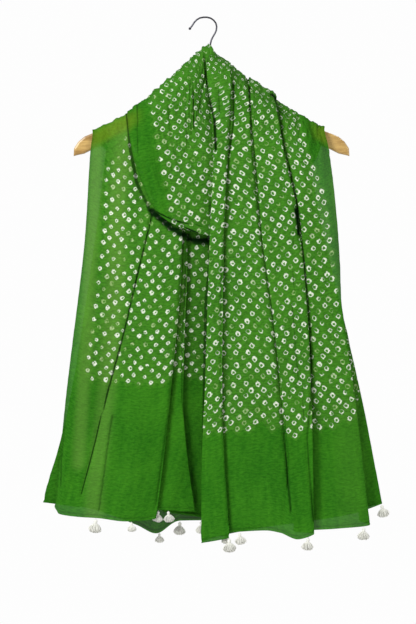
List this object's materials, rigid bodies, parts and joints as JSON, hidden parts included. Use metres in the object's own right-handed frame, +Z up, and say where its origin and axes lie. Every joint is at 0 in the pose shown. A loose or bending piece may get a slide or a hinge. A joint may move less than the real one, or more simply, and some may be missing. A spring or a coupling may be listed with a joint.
{
  "type": "bandhani cloth on a clothes hanger",
  "caption": "Tie-dyed cotton stole wound once round a wooden clothes hanger, with a cowl at the neck and both tasselled ends hanging in front.",
  "frame": {"origin": "inside of the hook's top, where a rail carries the hanger", "axes": "+Z up, +X to the viewer's right along the hanger, -Y towards the viewer, out of the cloth's front"},
  "size_m": [0.5558, 0.1229, 0.8641],
  "materials": {
    "green_cotton": "thin matt voile, tie-dyed green with undyed ring dots",
    "white_yarn": "soft cotton yarn",
    "pale_wood": "satin varnish",
    "bright_steel": "plated wire, a little dulled"
  },
  "bodies": {
    "root": {"stole": "green_cotton", "hanger_bow": "pale_wood", "hanger_hook": "bright_steel", "tassel_left_1": "white_yarn", "tassel_left_2": "white_yarn", "tassel_left_3": "white_yarn", "tassel_left_4": "white_yarn", "tassel_left_5": "white_yarn", "tassel_left_6": "white_yarn", "tassel_left_7": "white_yarn", "tassel_right_1": "white_yarn", "tassel_right_2": "white_yarn", "tassel_right_3": "white_yarn", "tassel_right_4": "white_yarn", "tassel_right_5": "white_yarn", "tassel_right_6": "white_yarn", "tassel_right_7": "white_yarn"}
  },
  "joints": []
}
